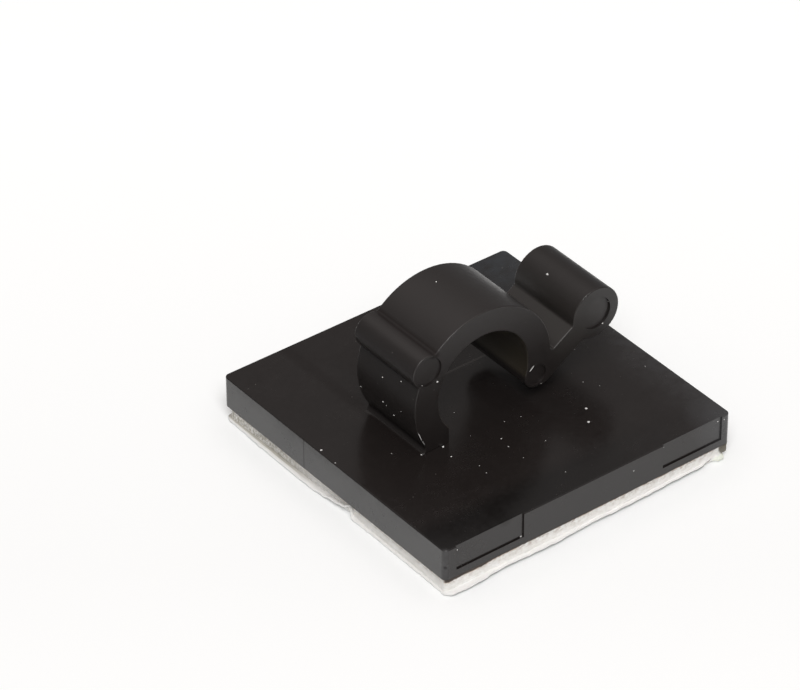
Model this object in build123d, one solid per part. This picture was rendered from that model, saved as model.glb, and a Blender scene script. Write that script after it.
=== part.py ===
from build123d import *
import math
import os

# Adhesive cable clip: a square plate on a foam pad, carrying a C-shaped ring that a cable snaps into.
# Millimetres, +Z up, the bore runs along Y. The origin is the middle of the underside of the release liner.

# Plate, a moulded square that the foam tape is stuck to
plate_side = 25.4
plate_thickness = 2.54
plate_corner_radius = 0.4

# Foam tape and its release liner
foam_thickness = 1.14
foam_inset = 0.1  # the foam is cut this much short of the plate's edge
liner_thickness = 0.13

# Clip profile, one outline pulled along Y
clip_width = 6.6
bore_diameter = 7.9
bore_flat = 0.08  # the plate's top face cuts this much off the bottom of the bore
ring_wall = 2.05
ring_centre_x = -1.96
ring_drop = 0.09  # the ring's outside sits this much lower than the bore
mouth_angle = -17.0  # where the ring ends, seen from its centre
foot_fillet = 0.4
junction_fillet = 0.25

# Bead on the ring's shoulder, a boss for the ejector pin
bead_radius = 1.3
bead_angle = 147.2
bead_sink = 0.24  # the bead's centre lies this far inside the ring's outside

# Lever, which leaves the ring's round tip, and the finger roll at its end
lever_thickness = 1.8
lever_lead = 0.5
lever_drop = 0.13
lever_length = 5.71
lever_angle = 32.9
roll_radius = 2.05

# Prints of the ejector pins on the end of the bead, the ring and the roll
pin_print_depth = 0.15
bead_pin_radius = 1.15
tip_pin_radius = 0.82
roll_pin_radius = 1.28

# Prints of the two ejector blades on the plate's front wall, open at the top
blade_print_depth = 0.12
blade_print_sill = 0.55
blade_print_ends = ((-11.7, -5.85), (6.55, 11.9))  # where each print starts and stops in x

# Small radii that the mould leaves on the outer edges
edge_break = 0.08

plate_bottom = liner_thickness + foam_thickness
plate_top = plate_bottom + plate_thickness
sunk = plate_top - plate_thickness / 2  # the post's root ends here, inside the plate
front = -clip_width / 2
bore_radius = bore_diameter / 2
ring_radius = bore_radius + ring_wall
tip_radius = ring_wall / 2
bore_centre = (ring_centre_x, plate_top + bore_radius - bore_flat)
ring_centre = (ring_centre_x, bore_centre[1] - ring_drop)


def away(start, distance, angle):
    """Point in the profile, at a distance and an angle from another."""
    turn = math.radians(angle)
    return (start[0] + distance * math.cos(turn), start[1] + distance * math.sin(turn))


tip_centre = away(ring_centre, bore_radius + tip_radius, mouth_angle)
gap_top = tip_centre[1] - tip_radius  # the gap that the cable goes in by reaches up to here
bead_centre = away(ring_centre, ring_radius - bead_sink, bead_angle)
lever_start = (tip_centre[0] + lever_lead, tip_centre[1] - lever_drop)
roll_centre = away(lever_start, lever_length, lever_angle)


def disc(centre, radius):
    """Circle in the profile, its seam at the top, clear of the plate and the mouth."""
    return Pos(*centre) * Rot(0, 0, 90) * Circle(radius)


def post_face():
    """Where the post's inner face stands, straight up from the plate to the height of the gap's top."""
    return bore_centre[0] - math.sqrt(bore_radius**2 - (bore_centre[1] - gap_top) ** 2)


def foot_outline():
    """Root of the post, spread over the plate by a fillet that touches the plate and the ring."""
    rise = ring_centre[1] - plate_top - foot_fillet
    run = math.sqrt((ring_radius + foot_fillet) ** 2 - rise**2)
    fillet_centre = (ring_centre[0] - run, plate_top + foot_fillet)
    below_ring = (ring_centre[0], sunk)
    below_fillet = (fillet_centre[0], sunk)
    spread = Polyline(fillet_centre, ring_centre, below_ring, below_fillet, fillet_centre)
    return make_face(spread) - disc(fillet_centre, foot_fillet)


def ring_outline():
    """The post and the ring, up from the plate and over the top to the round tip at the mouth."""
    reach = 2 * ring_radius
    post_x = post_face()
    beyond = away(ring_centre, reach, mouth_angle)
    mouth = Polyline(
        ring_centre, beyond, (beyond[0], sunk), (post_x, sunk), (post_x, gap_top), ring_centre
    )
    below = Pos(ring_centre[0], sunk - reach / 2) * Rectangle(2 * reach, reach)
    ring = disc(ring_centre, ring_radius) + foot_outline() - make_face(mouth) - below
    return ring + disc(tip_centre, tip_radius)


def lever_outline():
    """The flat lever, as thick all along, and the finger roll at its end."""
    middle = away(lever_start, lever_length / 2, lever_angle)
    lever = Pos(*middle) * Rot(0, 0, lever_angle) * Rectangle(lever_length, lever_thickness)
    return lever + disc(lever_start, lever_thickness / 2) + disc(roll_centre, roll_radius)


def clip_outline():
    """Whole side view of the clip above the plate, its foot sunk into the plate."""
    outline = ring_outline() + lever_outline() + disc(bead_centre, bead_radius)
    outline -= disc(bore_centre, bore_radius)
    corners = outline.vertices().filter_by(lambda v: v.Y > plate_top and is_notch(outline, v))
    return fillet(corners, junction_fillet)


def is_notch(outline, corner):
    """True where the outline turns inwards, so a fillet there adds material."""
    half_filled = 0.55  # a straight edge fills half of the probe, a notch clearly more
    probe = Pos(corner.X, corner.Y) * Circle(junction_fillet)
    return (outline & probe).area / probe.area > half_filled


def plate():
    """The square plate, its upright edges slightly rounded."""
    slab = Box(plate_side, plate_side, plate_thickness, align=(Align.CENTER, Align.CENTER, Align.MIN))
    slab = fillet(slab.edges().filter_by(Axis.Z), plate_corner_radius)
    slab = fillet(slab.faces().sort_by(Axis.Z)[-1].edges(), edge_break)
    return Pos(0, 0, plate_bottom) * slab


def profile_solid(outline, y_from, y_to):
    """Outline in x and height, pulled along Y."""
    pulled = extrude(outline, y_to - y_from)
    return Pos(0, y_to, 0) * Rot(90, 0, 0) * pulled


def pin_prints():
    """Shallow round prints on the front ends of the bead, the ring and the roll."""
    prints = disc(bead_centre, bead_pin_radius) + disc(tip_centre, tip_pin_radius)
    prints += disc(roll_centre, roll_pin_radius)
    return profile_solid(prints, front - pin_print_depth, front + pin_print_depth)


def blade_prints():
    """Two shallow rectangular prints on the front wall, from the sill to the top."""
    prints = []
    for left, right in blade_print_ends:
        size = (right - left, 2 * blade_print_depth, plate_thickness)
        blade = Box(*size, align=(Align.MIN, Align.CENTER, Align.MIN))
        prints.append(Pos(left, -plate_side / 2, plate_bottom + blade_print_sill) * blade)
    return prints


def clip():
    """Ring, bead, tip, lever and roll in one piece, the rims of both ends broken."""
    pulled = profile_solid(clip_outline(), front, -front)
    return fillet(pulled.faces().filter_by(Axis.Y).edges(), edge_break)


def clip_body():
    """The whole moulding: plate and clip in one solid."""
    body = plate() + clip() - pin_prints()
    for blade in blade_prints():
        body -= blade
    return body


def foam_tape():
    """Double-sided foam pad under the plate."""
    side = plate_side - 2 * foam_inset
    pad = Box(side, side, foam_thickness, align=(Align.CENTER, Align.CENTER, Align.MIN))
    return Pos(0, 0, liner_thickness) * pad


def release_liner():
    """Paper that covers the adhesive until the clip is used."""
    return Box(plate_side, plate_side, liner_thickness, align=(Align.CENTER, Align.CENTER, Align.MIN))


os.makedirs("parts", exist_ok=True)
for name, make in (("clip_body", clip_body), ("foam_tape", foam_tape), ("release_liner", release_liner)):
    solid = make()
    export_step(solid, f"parts/{name}.step")
    box = solid.bounding_box()
    print(name, len(solid.solids()), round(solid.volume, 2), tuple(box.min), tuple(box.max))
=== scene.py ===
# %% [markdown]
# # An adhesive cable clip
#
# A square black plate, moulded in one piece with an open ring and a finger lever, stands on a
# white foam pad whose adhesive is still covered by its paper liner. This lesson dresses the
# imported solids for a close-up: a glossy plastic for the moulding, a real cut edge for the foam,
# a wavy sheet of paper, and the few crumbs of dust that a clip picks up.
# The solids come first, because every later piece is placed by their numbers.

# %% Load the solids
import bpy
import math
import random
from mathutils import Matrix, Quaternion, Vector, noise


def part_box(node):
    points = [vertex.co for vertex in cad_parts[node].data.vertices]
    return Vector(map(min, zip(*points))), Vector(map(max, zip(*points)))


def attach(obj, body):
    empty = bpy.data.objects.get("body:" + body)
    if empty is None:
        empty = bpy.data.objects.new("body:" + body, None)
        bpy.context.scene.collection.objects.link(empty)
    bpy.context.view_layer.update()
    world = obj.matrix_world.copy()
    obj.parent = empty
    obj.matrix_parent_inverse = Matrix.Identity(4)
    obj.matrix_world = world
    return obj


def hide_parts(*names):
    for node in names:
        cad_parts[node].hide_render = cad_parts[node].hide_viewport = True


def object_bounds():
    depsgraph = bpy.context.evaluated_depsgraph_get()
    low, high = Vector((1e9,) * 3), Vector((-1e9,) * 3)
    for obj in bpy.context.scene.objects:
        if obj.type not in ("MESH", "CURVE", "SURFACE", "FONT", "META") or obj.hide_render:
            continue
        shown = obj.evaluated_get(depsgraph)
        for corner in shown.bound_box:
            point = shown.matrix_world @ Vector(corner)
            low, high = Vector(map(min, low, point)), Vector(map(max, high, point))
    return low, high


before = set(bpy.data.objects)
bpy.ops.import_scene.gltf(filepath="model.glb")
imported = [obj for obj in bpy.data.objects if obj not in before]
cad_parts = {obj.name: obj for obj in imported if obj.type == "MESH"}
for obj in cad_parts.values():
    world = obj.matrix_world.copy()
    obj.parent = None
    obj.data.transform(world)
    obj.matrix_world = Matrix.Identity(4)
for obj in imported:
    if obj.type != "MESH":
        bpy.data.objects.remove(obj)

cad_low, cad_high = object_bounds()
MM = 0.001
print("solids:", sorted(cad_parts), "size", [round(v / MM, 2) for v in cad_high - cad_low])

# %% [markdown]
# ## The camera
#
# The picture is taken with a long lens from the front left and well above, so parallel edges
# hardly converge. A camera could be placed by eye, but here the place, the three axes and the
# lens were solved from the corners of the square plate, which is the surest ruler in the view,
# and then the lens and the shift were trimmed by about a pixel to fit the whole outline. The
# shift keeps the object off centre without turning the camera.

# %% Place the camera
FRAME_WIDTH = 800
CAMERA_AT = (-158.545, -198.890, 193.272)
AZIMUTH = math.radians(-38.560)
ELEVATION = math.radians(36.682)
ROLL = math.radians(0.374)
FOCAL_PIXELS = 4510.8
SHIFT_PIXELS = (75.86, 48.98)
SENSOR = 36.0
NEAR_CLIP = 0.01


def camera_axes():
    """The camera's right, up and backward directions."""
    back = Vector((
        math.sin(AZIMUTH) * math.cos(ELEVATION),
        -math.cos(AZIMUTH) * math.cos(ELEVATION),
        math.sin(ELEVATION),
    ))
    level = Vector((0, 0, 1)).cross(back).normalized()
    upright = back.cross(level)
    right = math.cos(ROLL) * level + math.sin(ROLL) * upright
    up = -math.sin(ROLL) * level + math.cos(ROLL) * upright
    return right, up, back


lens = bpy.data.cameras.new("studio_camera")
lens.sensor_width = SENSOR
lens.lens = FOCAL_PIXELS / FRAME_WIDTH * SENSOR
lens.shift_x = -SHIFT_PIXELS[0] / FRAME_WIDTH
lens.shift_y = SHIFT_PIXELS[1] / FRAME_WIDTH
lens.clip_start = NEAR_CLIP
camera = bpy.data.objects.new("studio_camera", lens)
bpy.context.scene.collection.objects.link(camera)
turn = Matrix(camera_axes()).transposed().to_4x4()
camera.matrix_world = Matrix.Translation(Vector(CAMERA_AT) * MM) @ turn
bpy.context.scene.camera = camera
print("lens", round(lens.lens, 1), "mm")

# %% [markdown]
# ## Helpers for materials
#
# Every finish below is a small tree of nodes. Each could be wired by hand in the node editor;
# helpers keep the cells short and the wiring alike. The first group starts a material and makes
# patterns. All patterns are measured in millimetres on the object itself, so they stay in place
# when the camera moves.


# %% Pattern helpers
NOISE_SPAN = (0.3, 0.7)  # soft noise hardly ever leaves this range


def add(tree, kind, **sockets):
    """A new node, its input sockets set by name, with _ for a space."""
    node = tree.nodes.new(kind)
    for name, value in sockets.items():
        node.inputs[name.replace("_", " ")].default_value = value
    return node


def new_finish(name, colour, roughness):
    """A material with one surface shader, and the coordinates of the object in millimetres."""
    finish = bpy.data.materials.new(name)
    finish.use_nodes = True
    tree = finish.node_tree
    surface = tree.nodes["Principled BSDF"]
    surface.inputs["Base Color"].default_value = (*colour, 1)
    surface.inputs["Roughness"].default_value = roughness
    where = tree.nodes.new("ShaderNodeTexCoord")
    scaled = tree.nodes.new("ShaderNodeVectorMath")
    scaled.operation = "SCALE"
    scaled.inputs["Scale"].default_value = 1 / MM
    tree.links.new(where.outputs["Object"], scaled.inputs[0])
    return finish, tree, surface, scaled.outputs[0]


def stretched(tree, where, factors):
    """The coordinates scaled along each axis, for streaks, or flattened by a zero."""
    scaled = tree.nodes.new("ShaderNodeVectorMath")
    scaled.operation = "MULTIPLY"
    scaled.inputs[1].default_value = factors
    tree.links.new(where, scaled.inputs[0])
    return scaled.outputs[0]


def axes_of(tree, where):
    """The three coordinates as separate values."""
    split = tree.nodes.new("ShaderNodeSeparateXYZ")
    tree.links.new(where, split.inputs[0])
    return split.outputs["X"], split.outputs["Y"], split.outputs["Z"]


def blotches(tree, where, scale, detail=2.0, roughness=0.5):
    """Soft cloudy noise, scale in features per millimetre."""
    cloud = add(tree, "ShaderNodeTexNoise", Scale=scale, Detail=detail, Roughness=roughness)
    tree.links.new(where, cloud.inputs["Vector"])
    return cloud.outputs["Fac"]


def bump(tree, surface, height, strength, distance):
    """Fine relief, distance in millimetres, added under any relief that is already there."""
    relief = add(tree, "ShaderNodeBump", Strength=strength, Distance=distance * MM)
    tree.links.new(height, relief.inputs["Height"])
    before = surface.inputs["Normal"].links
    if before:
        tree.links.new(before[0].from_socket, relief.inputs["Normal"])
    tree.links.new(relief.outputs["Normal"], surface.inputs["Normal"])


print("pattern helpers ready")

# %% [markdown]
# A mask is a number from 0 to 1 that says how much of a colour shows at a point. The second
# group makes masks from a coordinate or from the distance to a spot, joins them, and paints
# colours through them, one over the other, as one would glaze a surface. Two masks overlap by
# being multiplied, and the greater of two shows where either does.


# %% Mask helpers
def remap(tree, value, from_low, from_high, to_low, to_high):
    """A value stretched from one range to another, clamped."""
    span = add(tree, "ShaderNodeMapRange")
    for socket, number in zip(span.inputs[1:5], (from_low, from_high, to_low, to_high)):
        socket.default_value = number
    tree.links.new(value, span.inputs[0])
    return span.outputs[0]


def rises(tree, value, start, end):
    """A mask that fades in from start to end."""
    return remap(tree, value, start, end, 0.0, 1.0)


def falls(tree, value, start, end):
    """A mask that fades out from start to end."""
    return remap(tree, value, start, end, 1.0, 0.0)


def nearness(tree, where, spot, near, far):
    """A mask that is full within a distance of a spot and fades out to another distance."""
    gap = tree.nodes.new("ShaderNodeVectorMath")
    gap.operation = "DISTANCE"
    gap.inputs[1].default_value = spot
    tree.links.new(where, gap.inputs[0])
    return falls(tree, gap.outputs["Value"], near, far)


def combine(tree, operation, first, second):
    """Two values or numbers, joined by a mathematical operation."""
    sums = tree.nodes.new("ShaderNodeMath")
    sums.operation = operation
    for socket, value in zip(sums.inputs, (first, second)):
        if isinstance(value, (int, float)):
            socket.default_value = value
        else:
            tree.links.new(value, socket)
    return sums.outputs[0]


def overlap(tree, *masks):
    """Where all of the masks show, each a value or a number."""
    product = masks[0]
    for mask in masks[1:]:
        product = combine(tree, "MULTIPLY", product, mask)
    return product


def either(tree, *masks):
    """Where at least one of the masks shows."""
    most = masks[0]
    for mask in masks[1:]:
        most = combine(tree, "MAXIMUM", most, mask)
    return most


def mix_colours(tree, factor, first, second):
    """Two colours or colour outputs, mixed by a factor."""
    blend = tree.nodes.new("ShaderNodeMix")
    blend.data_type = "RGBA"
    tree.links.new(factor, blend.inputs["Factor"])
    for socket, colour in ((blend.inputs["A"], first), (blend.inputs["B"], second)):
        if isinstance(colour, tuple):
            socket.default_value = (*colour, 1)
        else:
            tree.links.new(colour, socket)
    return blend.outputs["Result"]


def painted(tree, colour, layers):
    """A colour with layers over it, each a mask and its own colour, the last on top."""
    for mask, paint in layers:
        colour = mix_colours(tree, mask, colour, paint)
    return colour


print("mask helpers ready")

# %% [markdown]
# ## The moulded body
#
# The plate, ring and lever are one shot of black nylon. Its colour is almost nothing, so nearly
# all that the eye gets is reflection: a slightly hazy gloss, smoother on the flat plate than on
# the ring and the lever. The solid's own shape is right, so it stays and only gets a finish.

# %% Set the gloss
PLATE_TOP = 3.81
BLACK = (0.0135, 0.0120, 0.0113)
RING_ROUGHNESS = (0.35, 0.43)
PLATE_SMOOTHER_BY = 0.16
MOTTLE = (-0.04, 0.04)

plastic, tree, surface, where = new_finish("black_nylon_moulding", BLACK, 0.40)
surface.inputs["IOR"].default_value = 1.5
x_of, y_of, z_of = axes_of(tree, where)
haze = remap(tree, blotches(tree, where, 0.35, 3.0), *NOISE_SPAN, *RING_ROUGHNESS)
mottle = remap(tree, blotches(tree, where, 2.4, 3.0, 0.6), *NOISE_SPAN, *MOTTLE)
on_plate = remap(tree, z_of, PLATE_TOP + 0.04, PLATE_TOP + 0.29, PLATE_SMOOTHER_BY, 0.0)
roughness = combine(tree, "SUBTRACT", combine(tree, "ADD", haze, mottle), on_plate)
tree.links.new(roughness, surface.inputs["Roughness"])
on_the_plate = [round(value - PLATE_SMOOTHER_BY, 2) for value in RING_ROUGHNESS]
print("roughness: ring", RING_ROUGHNESS, "and plate", on_the_plate)

# %% [markdown]
# A plain black would look like a drawing. Painted glare greys the black along the right-hand side
# and at the right-hand front and far corners, and a painted highlight pales the ring's crown.
# Painted light lifts the shade in the bore, browner there, and on the roll's inner flank. The black
# is paler at the roll's end and along the near upright edge, and darker in the strip along the
# plate's front edge. A faint pale line crosses the plate at the far end of the bore, where two
# parts of the mould met. Each of these is a mask and a colour, painted over a softly mottled black.
# The masks could be painted by hand on an unwrapped surface, but places given in millimetres need
# no image and stay sharp at any distance.

# %% Tint the black, with painted glare, highlight and light
# Places on the moulding, in millimetres.
PARTING_Y = 3.22
NEAR_TOP_CORNER = (-12.7, -12.7, 3.8)
NEAR_UPRIGHT_EDGE = (-12.58, -12.58, 0.0)
GLARE_CORNER = (12.7, -12.7, 3.8)
FAR_CORNER = (12.7, 12.7, 3.8)
BORE_AXIS = (-1.96, 0.0, 7.68)
BORE_WALL = (3.93, 4.02)
ROLL_FLANK = (5.9, 0.0, 8.6)
ROLL_END = (8.09, -3.2, 9.11)
DARK_MOTTLE, PALE_MOTTLE = (0.0124, 0.0100, 0.0093), (0.0167, 0.0135, 0.0126)

side_view = stretched(tree, where, (1, 0, 1))
top_view = stretched(tree, where, (1, 1, 0))
patches = remap(tree, blotches(tree, where, 1.1, 5.0, 0.65), *NOISE_SPAN, 0.25, 0.75)
on_top = overlap(
    tree,
    rises(tree, z_of, PLATE_TOP - 0.05, PLATE_TOP - 0.01),
    falls(tree, z_of, PLATE_TOP + 0.04, PLATE_TOP + 0.14),
)
# Darker along the plate's front edge, towards the near corner.
darker_front_strip = overlap(
    tree, on_top, falls(tree, y_of, -10.6, -9.2), nearness(tree, where, NEAR_TOP_CORNER, 10.0, 25.0)
)
# Painted glare: the black pales towards the right-hand side.
right_side_glare = overlap(tree, combine(tree, "POWER", rises(tree, x_of, 8.5, 12.7), 2.0), patches)
# Painted glare: paler and bluish towards the far right-hand corner.
far_glare = overlap(tree, nearness(tree, where, FAR_CORNER, 1.0, 11.0), patches)
# Painted light: the shade inside the bore is lifted to a brownish dark.
in_bore = overlap(
    tree,
    nearness(tree, side_view, BORE_AXIS, *BORE_WALL),
    rises(tree, z_of, PLATE_TOP + 0.02, PLATE_TOP + 0.14),
)
# Painted highlight: the ring's crown is paler.
crown = overlap(tree, rises(tree, z_of, 9.5, 12.0), falls(tree, x_of, 2.5, 4.5))
off_parting = combine(tree, "ABSOLUTE", combine(tree, "SUBTRACT", y_of, PARTING_Y), 0)
pale_line = overlap(
    tree,
    falls(tree, off_parting, 0.06, 0.14),
    rises(tree, x_of, -5.4, -5.0),
    falls(tree, x_of, 3.0, 3.8),
    falls(tree, z_of, PLATE_TOP + 0.01, PLATE_TOP + 0.05),
)
# Paler along the near upright edge.
pale_near_edge = overlap(tree, nearness(tree, top_view, NEAR_UPRIGHT_EDGE, 0.15, 0.40), patches)

mottled = mix_colours(tree, blotches(tree, where, 0.8, 4.0), DARK_MOTTLE, PALE_MOTTLE)
tint = painted(tree, mottled, [
    (darker_front_strip, (0.0065, 0.0055, 0.0052)),
    (right_side_glare, (0.056, 0.056, 0.058)),
    # Painted glare at the right-hand front corner.
    (nearness(tree, where, GLARE_CORNER, 0.3, 3.5), (0.048, 0.048, 0.050)),
    (far_glare, (0.034, 0.041, 0.048)),
    (in_bore, (0.034, 0.028, 0.019)),
    (crown, (0.0190, 0.0158, 0.0150)),
    # Paler at the roll's end.
    (nearness(tree, where, ROLL_END, 0.9, 1.35), (0.024, 0.0205, 0.0195)),
    # Painted light lifting the shade on the roll's inner flank.
    (nearness(tree, side_view, ROLL_FLANK, 1.2, 2.6), (0.026, 0.023, 0.021)),
    (pale_line, (0.044, 0.039, 0.037)),
    (pale_near_edge, (0.045, 0.044, 0.046)),
])
print("nodes in the plastic so far:", len(tree.nodes))

# %% [markdown]
# The finest dust is too small to model. A cell pattern gives each cell of about a millimetre
# one dot, and a threshold on the cell's random colour keeps the dots of three cells in ten.
#
# Thin dark marks are made another way, by taking away the reflection: the parting line down the
# left wall and a pit in the near corner, and painted shade in the two inward creases beside the
# bead and at the post's foot, where little light gets in. A faint waviness from the mould, and a
# much finer one, are left to the bump, because they change nothing in the outline.

# %% Add dust, dark lines, painted crease shade and waviness
NEAR_PIT = (-12.58, -12.58, 2.35)
BEAD_CREASE = (-6.18, 0.0, 11.85)
FOOT_CREASE = (-7.35, 0.0, 3.95)
LEFT_WALL = (-12.66, -12.60)
SPECK = (0.035, 0.06)
DUST = (0.16, 0.15, 0.14)
SHINE, DULL = 0.5, 0.12

grit = add(tree, "ShaderNodeTexVoronoi", Scale=1.15, Randomness=1.0)
tree.links.new(where, grit.inputs["Vector"])
chosen = add(tree, "ShaderNodeSeparateColor")
tree.links.new(grit.outputs["Color"], chosen.inputs["Color"])
some_cells = remap(tree, chosen.outputs["Red"], 0.70, 0.72, 0.0, 0.5)
specks = overlap(tree, falls(tree, grit.outputs["Distance"], *SPECK), some_cells)
tree.links.new(mix_colours(tree, specks, tint, DUST), surface.inputs["Base Color"])

dark_marks_and_shade = either(
    tree,
    overlap(tree, falls(tree, off_parting, 0.02, 0.07), falls(tree, x_of, *LEFT_WALL)),
    nearness(tree, where, NEAR_PIT, 0.09, 0.15),
    # Painted shade: the two inward creases, beside the bead and at the post's foot.
    overlap(tree, nearness(tree, side_view, BEAD_CREASE, 0.20, 0.45), 0.85),
    overlap(tree, nearness(tree, side_view, FOOT_CREASE, 0.3, 0.7), 0.35),
)
shine = remap(tree, dark_marks_and_shade, 0.0, 1.0, SHINE, DULL)
tree.links.new(shine, surface.inputs["Specular IOR Level"])

bump(tree, surface, blotches(tree, where, 0.22, 1.0), 0.25, 0.06)
bump(tree, surface, blotches(tree, where, 2.0, 2.0), 0.10, 0.006)

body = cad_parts["clip_body"]
for slot in body.material_slots:
    slot.material = plastic
print("moulding:", len(body.data.polygons), "faces,", len(body.material_slots), "slot")

# %% [markdown]
# ## The outline of pad and liner
#
# Foam and paper were die-cut together, a little askew and a little ragged, so both follow the
# plate's square with an edge that wanders. Such an edge could be drawn as a free curve, but a
# walk round a square with round corners keeps it tied to the plate: each step knows its side,
# its place along that side and the way outwards.

# %% Walk round the pad
HALF = cad_high.x / MM
CUT_STEP = 0.1
FOAM_CORNER = 0.5
LINER_CORNER = 0.6
FRONT, RIGHT, BACK, LEFT = range(4)


def smooth_between(stops, at):
    """Value at a place, from (place, value) stops joined smoothly."""
    if at <= stops[0][0]:
        return stops[0][1]
    for (a, low), (b, high) in zip(stops, stops[1:]):
        if at <= b:
            t = (at - a) / (b - a)
            return low + (high - low) * t * t * (3 - 2 * t)
    return stops[-1][1]


def walk_square(half, radius, step):
    """Points round a square with round corners, each with its outward direction and its side.

    The last value is the place along that side, measured from the side's middle.
    """
    points = []
    straight = 2 * (half - radius)
    count = round(straight / step)
    bends = max(4, round(math.pi / 2 * radius / step))
    for side in (FRONT, RIGHT, BACK, LEFT):
        turn = side * math.pi / 2
        out = Vector((math.sin(turn), -math.cos(turn)))
        along = Vector((math.cos(turn), math.sin(turn)))
        for i in range(count):
            place = -half + radius + straight * i / count
            points.append((out * half + along * place, out, side, place))
        centre = out * (half - radius) + along * (half - radius)
        for i in range(bends):
            angle = math.pi / 2 * i / bends
            way = out * math.cos(angle) + along * math.sin(angle)
            points.append((centre + way * radius, way, side, half - radius + radius * angle))
    return points


print("cut edge:", len(walk_square(HALF, FOAM_CORNER, CUT_STEP)), "points round the pad")

# %% [markdown]
# How far the edge stays inside the plate is read off the cut edge at a few places on each side
# and joined smoothly between them. Noise alone would wander just as much, but in the wrong
# places; it is kept for the tearing.

# %% Say how the edges wander
# Insets in millimetres by side: front (-Y), right (+X), back (+Y), left (-X), each walked
# counter-clockwise seen from above, so the last side runs from the back to the front. Where
# an inset of the paper is negative, it peeps out from under the plate.
FOAM_INSET = [
    [(-12.2, 0.12), (-6.0, 0.08), (0.0, 0.10), (8.0, 0.14), (11.0, 0.14), (12.7, 0.15)],
    [(-12.2, 0.15), (-11.0, 0.20), (0.0, 0.18), (12.7, 0.22)],
    [(-12.2, 0.22), (0.0, 0.15), (12.7, 0.28)],
    [(-12.2, 0.28), (-6.0, 0.42), (-1.0, 0.46), (1.0, 0.42), (3.5, 0.32), (8.0, 0.28),
     (11.5, 0.24), (12.7, 0.12)],
]
LINER_INSET = [
    [(-11.8, -0.39), (-11.0, -0.44), (-10.0, -0.45), (-9.0, -0.32), (-8.0, -0.23), (-6.0, -0.26),
     (-4.0, -0.35), (-3.0, -0.34), (-2.0, -0.25), (0.0, -0.17), (3.0, -0.19), (5.0, -0.13),
     (8.0, -0.08), (10.0, -0.05), (11.0, 0.12), (11.6, 0.40), (13.2, 0.50)],
    [(-11.8, 0.50), (-11.0, 0.20), (0.0, 0.10), (13.2, 0.15)],
    [(-11.8, 0.15), (0.0, 0.08), (13.2, 0.02)],
    [(-11.8, 0.02), (-8.0, -0.10), (-3.0, -0.12), (-1.0, -0.04), (0.0, 0.05), (1.9, 0.18),
     (2.1, 0.02), (3.2, 0.05), (4.0, 0.10), (10.0, 0.06), (12.1, 0.03), (13.0, -0.39),
     (13.2, -0.39)],
]
# How far the free edge of the paper stands off the table, walked in the same way.
LINER_LIFT = [
    [(-11.8, 0.14), (-9.0, 0.20), (-6.0, 0.20), (4.0, 0.20), (9.0, 0.21), (11.0, 0.36),
     (13.2, 0.36)],
    [(-11.8, 0.36), (-11.0, 0.12), (0.0, 0.10), (13.2, 0.10)],
    [(-11.8, 0.10), (0.0, 0.08), (13.2, 0.10)],
    [(-11.8, 0.08), (-8.0, 0.09), (-5.0, 0.07), (-2.4, 0.08), (-1.0, 0.16), (0.0, 0.36),
     (1.0, 0.55), (1.9, 0.78), (2.1, 0.05), (3.0, 0.08), (3.5, 0.02), (12.2, 0.02), (13.2, 0.16)],
]
print("paper peeps out by up to", -min(inset for side in LINER_INSET for _, inset in side), "mm")

# %% [markdown]
# ## The foam pad
#
# Closed-cell foam, 1.1 mm thick. A plain box with a bumpy material would show a ruler-straight
# edge, and the edge is all that one sees of the foam, so the band round it is real geometry:
# the walk above repeated in rows from the liner up to the plate, with a skin of four-sided
# faces stretched over the rows. The liner below is skinned in the same way.


# %% Stretch a skin over rings
def ring_mesh(name, rings, cap_low, cap_high):
    """A closed skin over rings of points, each cap a fan to its own middle point."""
    count = len(rings[0])
    points = [p for ring in rings for p in ring] + [cap_low, cap_high]
    faces = []
    for row in range(len(rings) - 1):
        for i in range(count):
            j = (i + 1) % count
            a, b = row * count, (row + 1) * count
            faces.append((a + i, a + j, b + j, b + i))
    low, high, last = len(points) - 2, len(points) - 1, (len(rings) - 1) * count
    for i in range(count):
        j = (i + 1) % count
        faces.append((low, j, i))
        faces.append((high, last + i, last + j))
    mesh = bpy.data.meshes.new(name)
    mesh.from_pydata([Vector(p) * MM for p in points], [], faces)
    mesh.update()
    piece = bpy.data.objects.new(name, mesh)
    bpy.context.scene.collection.objects.link(piece)
    mesh.shade_smooth()
    return piece


print("skin helper ready")

# %% [markdown]
# A blade leaves the foam waisted a little between its two films of glue, with open cells and
# torn nicks. The right-hand front corner is torn further: a lump stands out low down, beside a
# hollow, and a blob of glue hangs above it. These could be sculpted by hand; here noise moves
# each point along its own outward direction, so the rows stay in order and never cross.

# %% Roughen the cut edge
FOAM_WAIST = 0.05
CELL_DEPTH = 0.03
CELLS_PER_MM, FINE_CELLS_PER_MM = 4.5, 11.0
TEAR_DEPTH = 0.12
TEAR_THRESHOLD = 0.25
EDGE_HOLD = 0.35  # how much of the roughness is left where the foam is glued
TORN_DEPTH = 0.65
LUMP_DEPTH = 0.28
GLUE_DEPTH = 0.20


def torn_corner(side, along, height):
    """Depth torn out of the right-hand front corner, negative where it stands out."""
    lump, torn = 0.0, 0.0
    if side == FRONT:
        lump = smooth_between([(11.35, 0), (11.65, 1), (12.15, 1), (12.35, 0)], along)
        torn = smooth_between([(12.15, 0), (12.45, 1)], along)
    elif side == RIGHT:
        torn = smooth_between([(-12.0, 1), (-11.2, 0)], along)
    below = smooth_between([(0.14, 1), (0.32, 0)], height)
    return below * (TORN_DEPTH * torn - LUMP_DEPTH * lump) - (1 - below) * GLUE_DEPTH * torn


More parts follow.
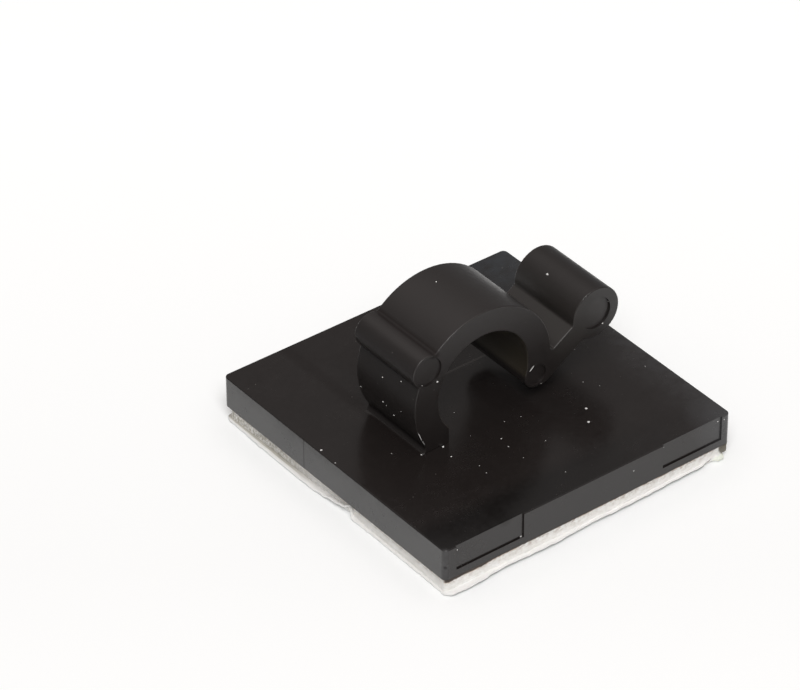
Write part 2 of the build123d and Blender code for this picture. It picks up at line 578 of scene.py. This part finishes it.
def foam_edge(place, out, inset, height):
    """One point of the foam's cut edge, height from 0 at the liner to 1 at the plate."""
    spot = Vector((place.x, place.y, height * 1.5))
    cells = noise.noise(spot * CELLS_PER_MM) + 0.5 * noise.noise(spot * FINE_CELLS_PER_MM)
    tear = noise.noise(spot * Vector((0.9, 0.9, 0.6)) + Vector((7, 3, 1)))
    streaks = 0.6 * noise.noise(Vector((place.x * 0.8, place.y * 0.8, height * 7.0)))
    middle = math.sin(math.pi * height)
    rough = CELL_DEPTH * (cells + streaks) + TEAR_DEPTH * max(0.0, tear - TEAR_THRESHOLD)
    depth = inset + FOAM_WAIST * middle + (EDGE_HOLD + (1 - EDGE_HOLD) * middle) * rough
    return place - out * depth


lump, hollow = torn_corner(FRONT, 12.0, 0.0), torn_corner(RIGHT, -12.0, 0.0)
print("torn corner: the lump is", lump, "and the hollow", hollow, "mm deep")

# %% [markdown]
# Fourteen rows are enough for the cells to show at this distance, and the pad's top and bottom
# stay where the solid has them, flat against the plate and the liner.

# %% Build the foam
FOAM_ROWS = 14

foam_low, foam_high = (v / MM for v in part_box("foam_tape"))
rings = []
for row in range(FOAM_ROWS + 1):
    height = row / FOAM_ROWS
    z = foam_low.z + (foam_high.z - foam_low.z) * height
    ring = []
    for place, out, side, along in walk_square(HALF, FOAM_CORNER, CUT_STEP):
        inset = smooth_between(FOAM_INSET[side], along) + torn_corner(side, along, height)
        spot = foam_edge(place, out, inset, height)
        ring.append((spot.x, spot.y, z))
    rings.append(ring)
foam = ring_mesh("foam_pad", rings, (0, 0, foam_low.z), (0, 0, foam_high.z))
print("foam:", len(foam.data.polygons), "faces")

# %% [markdown]
# The foam scatters light like a very fine sponge: matt, a little grey in its pores, streaky
# where the blade dragged. A plain white would look like chalk. So light may enter a little way
# and leave again near by, which keeps the shadows soft, and noise stands for the pores.

# %% Mix the foam
LIGHT_SPREAD = (0.4, 0.36, 0.3)  # how far red, green and blue travel, in steps of
SPREAD_STEP = 0.5  # this many millimetres
GREY_PORES, WHITE_FOAM = (0.84, 0.825, 0.79), (0.99, 0.985, 0.965)

sponge, tree, surface, where = new_finish("white_foam", (0.95, 0.94, 0.91), 0.9)
surface.inputs["Subsurface Weight"].default_value = 0.15
surface.inputs["Subsurface Radius"].default_value = LIGHT_SPREAD
surface.inputs["Subsurface Scale"].default_value = SPREAD_STEP * MM
x_of, y_of, z_of = axes_of(tree, where)
pores = blotches(tree, where, 5.0, 4.0, 0.6)
streaks = blotches(tree, stretched(tree, where, (1, 1, 5)), 1.3, 5.0, 0.62)
grain = combine(tree, "ADD", overlap(tree, pores, 0.4), overlap(tree, streaks, 0.6))
clean_foam = mix_colours(tree, rises(tree, grain, 0.38, 0.62), GREY_PORES, WHITE_FOAM)
bump(tree, surface, pores, 0.5, 0.03)
print("foam mixed from", len(tree.nodes), "nodes so far")

# %% [markdown]
# What colours it is painted on in layers: brownish smears in the upper half, painted shadow along
# the far half of the left side, and brown where the glue has soaked in under the plate. Along the
# front a dark band of painted shade hangs below the plate's edge, deepest at the near corner, with
# a brown fringe. The torn corner is coloured dark above and has a waxy, greenish lump below. One
# noise over everything would colour it evenly; these masks follow a height or a corner, where glue,
# dirt and the painted shade gather.

# %% Stain and shade the foam
NEAR_SHADE_END = (-9.4, -8.4)  # x where the deeper band of painted shade at the near corner ends
EXTRA_DEPTH = 0.16
SHADE_BAND_DEPTH = (0.195, 0.245)
FRINGE_DEPTH = (0.26, 0.32)
DARK_CORNER_SPOT = (12.65, -12.65, 0.95)
WAXY_LUMP = (12.1, -12.7, 0.2)

top = foam_high.z
soot = blotches(tree, stretched(tree, where, (1, 1, 1.5)), 2.0, 5.0, 0.75)
smears = overlap(tree, remap(tree, soot, 0.46, 0.62, 0.0, 0.9), rises(tree, z_of, 0.45, 0.95))
# Painted shadow: greyer along the far half of the left side.
left_painted_shadow = overlap(
    tree,
    falls(tree, x_of, -12.3, -11.9),
    remap(tree, y_of, 2.0, 7.0, 0.15, 1.0),
    rises(tree, pores, 0.42, 0.58),
)
jagged = remap(tree, blotches(tree, where, 2.5, 4.0, 0.7), *NOISE_SPAN, -0.05, 0.05)
ragged = combine(tree, "ADD", z_of, jagged)
patchy = blotches(tree, stretched(tree, where, (1, 1, 0.2)), 0.9, 4.0, 0.6)
patchy = remap(tree, patchy, 0.45, 0.56, 0.0, 0.85)
soaked = overlap(
    tree,
    rises(tree, ragged, top - 0.19, top - 0.14),
    falls(tree, ragged, top - 0.10, top - 0.06),
    patchy,
)
in_front = falls(tree, y_of, -12.45, -12.25)
wavy = blotches(tree, stretched(tree, where, (1, 1, 0)), 3.0, 3.0, 0.6)
wavy = remap(tree, wavy, *NOISE_SPAN, -0.025, 0.025)
below_plate = combine(tree, "ADD", combine(tree, "SUBTRACT", top, z_of), wavy)
deeper = remap(tree, x_of, *NEAR_SHADE_END, EXTRA_DEPTH, 0.0)
depth_below_edge = combine(tree, "SUBTRACT", below_plate, deeper)
fringe = overlap(tree, remap(tree, depth_below_edge, *FRINGE_DEPTH, 0.9, 0.0), in_front, patchy)
# Painted shade: a dark band just below the plate's edge along the front.
painted_shade_band = overlap(tree, falls(tree, depth_below_edge, *SHADE_BAND_DEPTH), in_front)
# Coloured dark at the torn corner, above the lump.
dark_corner = overlap(tree, nearness(tree, where, DARK_CORNER_SPOT, 0.72, 0.86), 0.9)
waxy = overlap(tree, nearness(tree, where, WAXY_LUMP, 0.6, 0.9), falls(tree, z_of, 0.36, 0.46))

dirty_foam = painted(tree, clean_foam, [
    (smears, (0.54, 0.47, 0.42)),
    (left_painted_shadow, (0.50, 0.48, 0.42)),
    (soaked, (0.36, 0.25, 0.17)),
    (fringe, (0.60, 0.47, 0.37)),
    (painted_shade_band, (0.080, 0.062, 0.052)),
    (dark_corner, (0.11, 0.10, 0.075)),
    (waxy, (0.87, 0.90, 0.80)),
])
tree.links.new(dirty_foam, surface.inputs["Base Color"])
foam.data.materials.append(sponge)
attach(foam, "root")
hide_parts("foam_tape")
print("foam finished with", len(tree.nodes), "nodes")

# %% [markdown]
# ## The release liner
#
# A sheet of coated paper under the foam, cut slightly larger than the foam and gently frayed,
# so that its margin lifts off the table here and there, and is folded up at one place on the
# left. The margin is modelled as rings from under the foam outwards, top and bottom, and the
# lift grows towards the free edge. Each ring lies between a smaller square and the cut edge,
# rather than being stepped inwards from the edge, which would fold the rings at the corners.

# %% Build the liner
LINER_RINGS = 7
MARGIN = 1.0
LIFTS_FROM = 0.15  # share of the margin that still lies flat
FRAYED_FROM = 3.2  # place along the left side where the edge gets rougher
FRAYED, CUT_CLEAN = 0.06, 0.02


def liner_lift(place, side, along):
    """How far the free edge of the paper stands off the table here, in millimetres."""
    ripple = 1 + 0.5 * noise.noise(Vector((place.x, place.y, 9.0)) * 1.3)
    return smooth_between(LINER_LIFT[side], along) * ripple


def liner_fray(place, side, along):
    """How raggedly the paper's edge is cut here, more so along the near half of the left side."""
    rough = FRAYED if side == LEFT and along > FRAYED_FROM else CUT_CLEAN
    slow = noise.noise(Vector((place.x, place.y, 0)) * 2.2)
    quick = noise.noise(Vector((place.x, place.y, 5)) * 6.0)
    return 0.04 * slow + rough * quick


liner_low, liner_high = (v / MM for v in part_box("release_liner"))
walk = walk_square(HALF, LINER_CORNER, CUT_STEP)
top_rings, low_rings = [], []
for k in range(LINER_RINGS + 1):
    reach = k / LINER_RINGS
    top, low = [], []
    for place, out, side, along in walk:
        inset = smooth_between(LINER_INSET[side], along)
        inner = place * (1 - MARGIN / HALF)
        outer = place - out * (inset + liner_fray(place, side, along))
        spot = inner.lerp(outer, reach)
        lift = liner_lift(place, side, along) * smooth_between([(LIFTS_FROM, 0), (1.0, 1)], reach)
        top.append((spot.x, spot.y, liner_high.z + lift))
        low.append((spot.x, spot.y, liner_low.z + lift))
    top_rings.append(top)
    low_rings.append(low)
rings = low_rings + top_rings[::-1]
liner = ring_mesh("paper_liner", rings, (0, 0, liner_low.z), (0, 0, liner_high.z))
print("liner:", len(liner.data.polygons), "faces")

# %% [markdown]
# Coated paper: smoother than the foam, slightly warm, with faint fibres, and darker beside the foam
# along the far half of the left side, as painted shadow. The underside is brown kraft, darkened low
# on the rim as painted shadow. The lower part of the cut edge belongs to it, and draws the thin
# dark line along the front, a painted shadow. A second material could be given to the lower faces,
# but a mask that asks which way the surface faces lets the two sides meet softly within the cut
# edge.

# %% Finish the liner
FACING_DOWN = (-0.75, -0.40)
THICKER_LINE = 0.35  # takes in more of the cut edge towards the right, thickening the painted shadow line

paper, tree, surface, where = new_finish("coated_paper", (0.93, 0.92, 0.90), 0.55)
x_of, y_of, z_of = axes_of(tree, where)
fibres = blotches(tree, where, 3.0, 5.0, 0.65)
coated = mix_colours(tree, fibres, (0.89, 0.88, 0.86), (0.96, 0.955, 0.94))
# Painted shadow: darker paper beside the foam along the far half of the left side.
shadow_beside_foam = overlap(
    tree,
    rises(tree, x_of, -12.60, -12.52),
    falls(tree, x_of, -11.8, -11.5),
    remap(tree, y_of, 2.0, 5.5, 0.0, 0.85),
)
kraft_with_shadow = mix_colours(tree, fibres, (0.27, 0.22, 0.15), (0.33, 0.28, 0.20))
# Painted shadow: darker low on the cut edge, drawing the thin dark line along the front.
kraft_with_shadow = mix_colours(tree, rises(tree, z_of, 0.02, 0.12), kraft_with_shadow, (0.11, 0.10, 0.085))
facing = axes_of(tree, tree.nodes.new("ShaderNodeTexCoord").outputs["Normal"])[2]
facing = combine(tree, "SUBTRACT", facing, remap(tree, x_of, 0.0, 10.5, 0.0, THICKER_LINE))
faint_on_left = remap(tree, x_of, -12.5, -12.0, 0.25, 1.0)
underside = overlap(tree, falls(tree, facing, *FACING_DOWN), faint_on_left)
both_sides = painted(tree, coated, [(shadow_beside_foam, (0.50, 0.48, 0.42)), (underside, kraft_with_shadow)])
tree.links.new(both_sides, surface.inputs["Base Color"])
bump(tree, surface, fibres, 0.35, 0.015)
liner.data.materials.append(paper)
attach(liner, "root")
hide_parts("release_liner")
print("liner finished with", len(tree.nodes), "nodes")

# %% [markdown]
# ## Dust
#
# Crumbs of foam and lint sit on the black gloss and catch the light. Sprinkled at random they
# would look like noise, so the large ones are placed one by one, each dropped along an axis
# onto the first surface that it meets. The finest dust is already in the plastic's finish.

# %% Say where the crumbs lie
# x, y and size of the crumbs on the plate, in millimetres.
PLATE_CRUMBS = [
    (5.02, -6.10, 0.19), (4.16, -7.42, 0.18), (-1.83, -5.17, 0.08), (-2.02, -6.19, 0.08),
    (-4.95, -6.64, 0.07), (-5.06, -7.56, 0.05), (0.84, -4.02, 0.05), (-0.44, -3.76, 0.06),
    (-1.98, -7.80, 0.05), (0.44, -7.23, 0.05), (-0.70, -10.82, 0.05), (-3.31, -3.60, 0.04),
    (-2.55, -0.79, 0.06), (6.84, -3.55, 0.06), (7.5, -4.6, 0.04), (8.84, -0.16, 0.06),
    (-5.84, -4.65, 0.11), (-7.34, -3.22, 0.11), (-5.58, -3.42, 0.16), (-12.48, 1.46, 0.14),
    (-12.58, -0.29, 0.08), (11.5, -4.8, 0.05), (12.3, 1.0, 0.06), (-1.83, 11.5, 0.05),
    (-8.88, -1.83, 0.05),
]
# x, z and size of the crumbs on the faces that look to the front.
FRONT_CRUMBS = [
    (-6.02, 9.56, 0.14), (-7.21, 9.67, 0.07), (3.2, 5.2, 0.06), (7.45, 10.2, 0.06),
    (8.7, 7.96, 0.10), (9.3, 9.5, 0.05), (-6.05, 1.88, 0.14), (-11.55, 3.40, 0.09),
    (6.65, 3.55, 0.06), (11.6, 3.50, 0.075), (12.1, 3.50, 0.07), (3.87, 2.87, 0.07),
]
# y, z and size of the crumbs on the flank that looks to the left.
LEFT_CRUMBS = [
    (0.45, 8.60, 0.09), (3.04, 6.24, 0.08), (-1.45, 9.26, 0.07), (0.43, 6.49, 0.10),
    (-0.61, 5.87, 0.10), (-1.70, 6.92, 0.06), (2.0, 9.9, 0.05), (0.1, 6.35, 0.05),
]
# x, y and size of the crumbs that lie on top of the arch and of the roll.
HIGH_CRUMBS = [(6.88, 0.65, 0.16), (-2.3, 1.59, 0.10)]
# Ends of the thin slivers on the faces that look to the front, as x and z, and their thickness.
SLIVERS = [
    ((-7.70, 5.95), (-7.36, 5.10), 0.055),
    ((-7.32, 5.05), (-7.10, 4.60), 0.032),
    ((2.14, 6.68), (2.55, 7.05), 0.075),
]
print("listed:", len(PLATE_CRUMBS + FRONT_CRUMBS + LEFT_CRUMBS + HIGH_CRUMBS), "crumbs")

# %% [markdown]
# Each crumb is a small globe, squashed onto the surface and with every point jittered, so no
# two are alike. One seeded die throws all the jitter, which keeps the picture the same each
# time. A sliver is the same globe, drawn out along its own direction. A few ready-made lumps,
# copied and turned, would do too, but the eye soon finds the copies.

# %% Shape one crumb
SIDES, ROWS = 8, 5
SQUASH, POLE = 0.55, 0.28
dice = random.Random(7)


def crumb(points, faces, centre, away, size, along=None):
    """One lumpy grain, or a sliver where along gives its direction and length."""
    tilt = Vector(away).to_track_quat("Z", "Y")
    spin = dice.uniform(0, math.pi)
    long_side = dice.uniform(1.0, 1.5)
    if along:
        level = tilt.inverted() @ Vector(along)
        spin = 0.0
        tilt = tilt @ Quaternion((0, 0, 1), math.atan2(level.y, level.x))
        long_side = Vector(along).length / size
    start = len(points)
    for row in range(1, ROWS):
        polar = math.pi * row / ROWS
        for step in range(SIDES):
            angle = spin + 2 * math.pi * step / SIDES
            jitter = dice.uniform(0.75, 1.2)
            local = Vector((
                math.sin(polar) * math.cos(angle) * long_side,
                math.sin(polar) * math.sin(angle),
                math.cos(polar) * SQUASH,
            )) * (size / 2 * jitter)
            points.append(Vector(centre) + tilt @ local)
    pole = tilt @ Vector((0, 0, size * POLE))
    points.append(Vector(centre) + pole)
    points.append(Vector(centre) - pole)
    top, low = len(points) - 2, len(points) - 1
    last = start + (ROWS - 2) * SIDES
    for step in range(SIDES):
        after = (step + 1) % SIDES
        faces.append((top, start + step, start + after))
        for row in range(ROWS - 2):
            a, b = start + row * SIDES, start + (row + 1) * SIDES
            faces.append((a + step, b + step, b + after, a + after))
        faces.append((low, last + after, last + step))


print("one crumb:", (ROWS - 1) * SIDES + 2, "points")

# %% [markdown]
# Each crumb is thrown at the solid along a straight line and lies where the line first meets
# it, sunk in a little. Heights typed in by hand would leave some floating. All of them share
# one mesh, because none is ever moved alone.


# %% Throw the crumbs
UNDER_ARCH = 1.0  # crumbs on the plate start this high above it, below the ring and the lever
FAR = 30.0
SINK = 0.12


def drop(start, way):
    """The point and the facing of the solid that a straight line meets first, in millimetres."""
    met, spot, facing, _ = body.ray_cast(Vector(start) * MM, Vector(way))
    assert met, start
    return spot / MM, facing


throws = [((x, y, PLATE_TOP + UNDER_ARCH), (0, 0, -1), size) for x, y, size in PLATE_CRUMBS]
throws += [((x, -FAR, z), (0, 1, 0), size) for x, z, size in FRONT_CRUMBS]
throws += [((-FAR, y, z), (1, 0, 0), size) for y, z, size in LEFT_CRUMBS]
throws += [((x, y, FAR), (0, 0, -1), size) for x, y, size in HIGH_CRUMBS]
points, faces = [], []
for start, way, size in throws:
    spot, facing = drop(start, way)
    crumb(points, faces, spot + facing * (SINK * size), facing, size)
for (x, z), (to_x, to_z), size in SLIVERS:
    spot, facing = drop(((x + to_x) / 2, -FAR, (z + to_z) / 2), (0, 1, 0))
    crumb(points, faces, spot, facing, size, along=(to_x - x, 0, to_z - z))
print("dust:", len(throws), "crumbs and", len(SLIVERS), "slivers,", len(faces), "faces")

# %% [markdown]
# The lint is pale and matt, with a soft mottle so that the larger crumbs aren't one flat white.

# %% Finish the dust
mesh = bpy.data.meshes.new("dust_crumbs")
mesh.from_pydata([p * MM for p in points], [], faces)
mesh.update()
dust = bpy.data.objects.new("dust_crumbs", mesh)
bpy.context.scene.collection.objects.link(dust)
lint, tree, surface, where = new_finish("pale_lint", (0.78, 0.77, 0.75), 0.8)
fluff = mix_colours(tree, blotches(tree, where, 6.0), (0.6, 0.59, 0.57), (0.9, 0.89, 0.88))
tree.links.new(fluff, surface.inputs["Base Color"])
dust.data.materials.append(lint)
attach(dust, "root")
print("dust finished:", dust.name)

# %% [markdown]
# ## The table
#
# The clip lies on a matt white table, a single large square a hair below the paper, so that
# the two never fight for the same points. A curved backdrop would do as well, but from so high
# up the camera sees nothing but the table.

# %% Lay the table
TABLE_HALF = 2.0
TABLE_Z = -0.00001

table_mesh = bpy.data.meshes.new("table")
corners = ((-1, -1), (1, -1), (1, 1), (-1, 1))
corners = [(x * TABLE_HALF, y * TABLE_HALF, TABLE_Z) for x, y in corners]
table_mesh.from_pydata(corners, [], [(0, 1, 2, 3)])
table = bpy.data.objects.new("table", table_mesh)
bpy.context.scene.collection.objects.link(table)
print("table", 2 * TABLE_HALF, "m square")

# %% [markdown]
# A real studio would light the table apart from the object until it turns pure white. Here it
# glows a little of its own accord instead, but only as the camera and the mirror images see
# it, so that it casts no light on the foam. The glow grows with the distance from the camera,
# and the mirrored one is stronger left of the plate, where the plate's left wall and the
# ring's flank look at it.

# %% Let the table glow
MATT_WHITE = (0.895, 0.905, 0.905)
GLOW_WHITE = (0.97, 1.0, 1.0)
AWAY = (math.sin(-AZIMUTH), math.cos(AZIMUTH), 0.0)
SEEN_FROM_TO = (-15.0, 48.0)
SEEN_LIFT = (0.125, 0.25)
LEFT_OF_PLATE = (-13.2, -12.7)
LEFT_LIFT = 0.36
MIRRORED_LIFT = 0.19

white = bpy.data.materials.new("white_table")
white.use_nodes = True
tree = white.node_tree
tree.nodes.clear()
matt = add(tree, "ShaderNodeBsdfDiffuse", Color=(*MATT_WHITE, 1))
glow = add(tree, "ShaderNodeEmission", Color=(*GLOW_WHITE, 1))
path = tree.nodes.new("ShaderNodeLightPath")
where = tree.nodes.new("ShaderNodeTexCoord").outputs["Object"]
depth = tree.nodes.new("ShaderNodeVectorMath")
depth.operation = "DOT_PRODUCT"
depth.inputs[1].default_value = AWAY
tree.links.new(where, depth.inputs[0])
near, far = (v * MM for v in SEEN_FROM_TO)
seen_lift = remap(tree, depth.outputs["Value"], near, far, *SEEN_LIFT)
seen_by = either(tree, path.outputs["Is Camera Ray"], path.outputs["Is Transmission Ray"])
left, right = (v * MM for v in LEFT_OF_PLATE)
mirrored_lift = remap(tree, axes_of(tree, where)[0], left, right, LEFT_LIFT, MIRRORED_LIFT)
strength = either(
    tree,
    overlap(tree, seen_by, seen_lift),
    overlap(tree, path.outputs["Is Glossy Ray"], mirrored_lift),
)
tree.links.new(strength, glow.inputs["Strength"])
both = tree.nodes.new("ShaderNodeAddShader")
tree.links.new(matt.outputs[0], both.inputs[0])
tree.links.new(glow.outputs[0], both.inputs[1])
out = tree.nodes.new("ShaderNodeOutputMaterial")
tree.links.new(both.outputs[0], out.inputs["Surface"])
table.data.materials.append(white)
print("glow seen:", SEEN_LIFT, "and mirrored:", (MIRRORED_LIFT, LEFT_LIFT))

# %% [markdown]
# ## Room and lamp
#
# One large soft lamp hangs above and behind the camera, in a grey room. The grey top of the
# plate is the mirror image of the room, so the room is dim up to half its height and then gets
# brighter towards the ceiling. It is a little warm, as painted walls are. A picture of a real
# room could light the clip too, but a ramp of a few greys is easier to tune.

# %% Light the room
# Height of the direction, from 0 at the horizon to 1 overhead, and the brightness there.
ROOM_LEVELS = [(0.0, 0.28), (0.45, 0.20), (0.60, 0.21), (0.73, 0.50), (0.85, 0.80), (1.0, 1.0)]
ROOM_TINT = Vector((1.0, 0.95, 0.93))
LAMP_TOWARDS = (-0.35, -0.50, 0.79)
LAMP_DISTANCE, LAMP_SIDE, LAMP_RADIANCE = 0.5, 0.22, 9.3

world = bpy.data.worlds.new("grey_room")
world.use_nodes = True
bpy.context.scene.world = world
tree = world.node_tree
way = tree.nodes.new("ShaderNodeTexCoord")
room = tree.nodes.new("ShaderNodeValToRGB")
stops = room.color_ramp.elements
stops.remove(stops[1])
for place, level in ROOM_LEVELS:
    stop = stops[0] if place == 0 else stops.new(place)
    stop.color = (*(ROOM_TINT * level), 1)
tree.links.new(axes_of(tree, way.outputs["Generated"])[2], room.inputs["Fac"])
tree.links.new(room.outputs["Color"], tree.nodes["Background"].inputs["Color"])


def softbox(name, towards, distance, side, radiance):
    """A square lamp facing the clip, its brightness given as the radiance of its face."""
    lamp = bpy.data.lights.new(name, "AREA")
    lamp.shape = "SQUARE"
    lamp.size = side
    lamp.energy = radiance * math.pi * side**2
    piece = bpy.data.objects.new(name, lamp)
    way = Vector(towards).normalized()
    piece.location = way * distance
    piece.rotation_mode = "QUATERNION"
    piece.rotation_quaternion = way.to_track_quat("Z", "Y")
    bpy.context.scene.collection.objects.link(piece)
    return piece


key = softbox("key_softbox", LAMP_TOWARDS, LAMP_DISTANCE, LAMP_SIDE, LAMP_RADIANCE)
print("lamp:", key.name, "at", [round(v, 2) for v in key.location])

# %% [markdown]
# Black gloss shows whatever stands round it. Three dark cards keep the far table out of the
# flanks of the ring and of the plate, as a photographer would with black paper; only
# reflections see them.


# %% Stand up the cards
def card(name, start, end, height, level):
    """A standing sheet between two points on the table, in millimetres, seen in gloss only."""
    low = [Vector((*start, 0.1)), Vector((*end, 0.1))]
    high = [p + Vector((0, 0, height)) for p in low]
    mesh = bpy.data.meshes.new(name)
    mesh.from_pydata([p * MM for p in (*low, *reversed(high))], [], [(0, 1, 2, 3)])
    sheet = bpy.data.objects.new(name, mesh)
    bpy.context.scene.collection.objects.link(sheet)
    paint = bpy.data.materials.new(name)
    paint.use_nodes = True
    paint.node_tree.nodes.clear()
    grey = (level, level, level, 1)
    shade = add(paint.node_tree, "ShaderNodeEmission", Color=grey, Strength=1.0)
    out = paint.node_tree.nodes.new("ShaderNodeOutputMaterial")
    paint.node_tree.links.new(shade.outputs[0], out.inputs["Surface"])
    mesh.materials.append(paint)
    sheet.visible_camera = False
    sheet.visible_diffuse = False
    sheet.visible_shadow = False
    sheet.visible_transmission = False
    return sheet


cards = [
    card("left_card", (-15.7, 6), (-17.5, 60), 26, 0.17),
    card("front_left_card", (-16.4, -7), (-15.7, 5.9), 26, 0.17),
    card("right_card", (60, -30), (30, 90), 30, 0.25),
]
print("cards:", [sheet.name for sheet in cards])

# %% [markdown]
# The picture is shown as it is computed, with no film curve over it, so the white of the table
# stays white and the blacks stay where the finish puts them.

# %% Picture settings
bpy.context.scene.view_settings.view_transform = "Standard"
print("view:", bpy.context.scene.view_settings.view_transform)
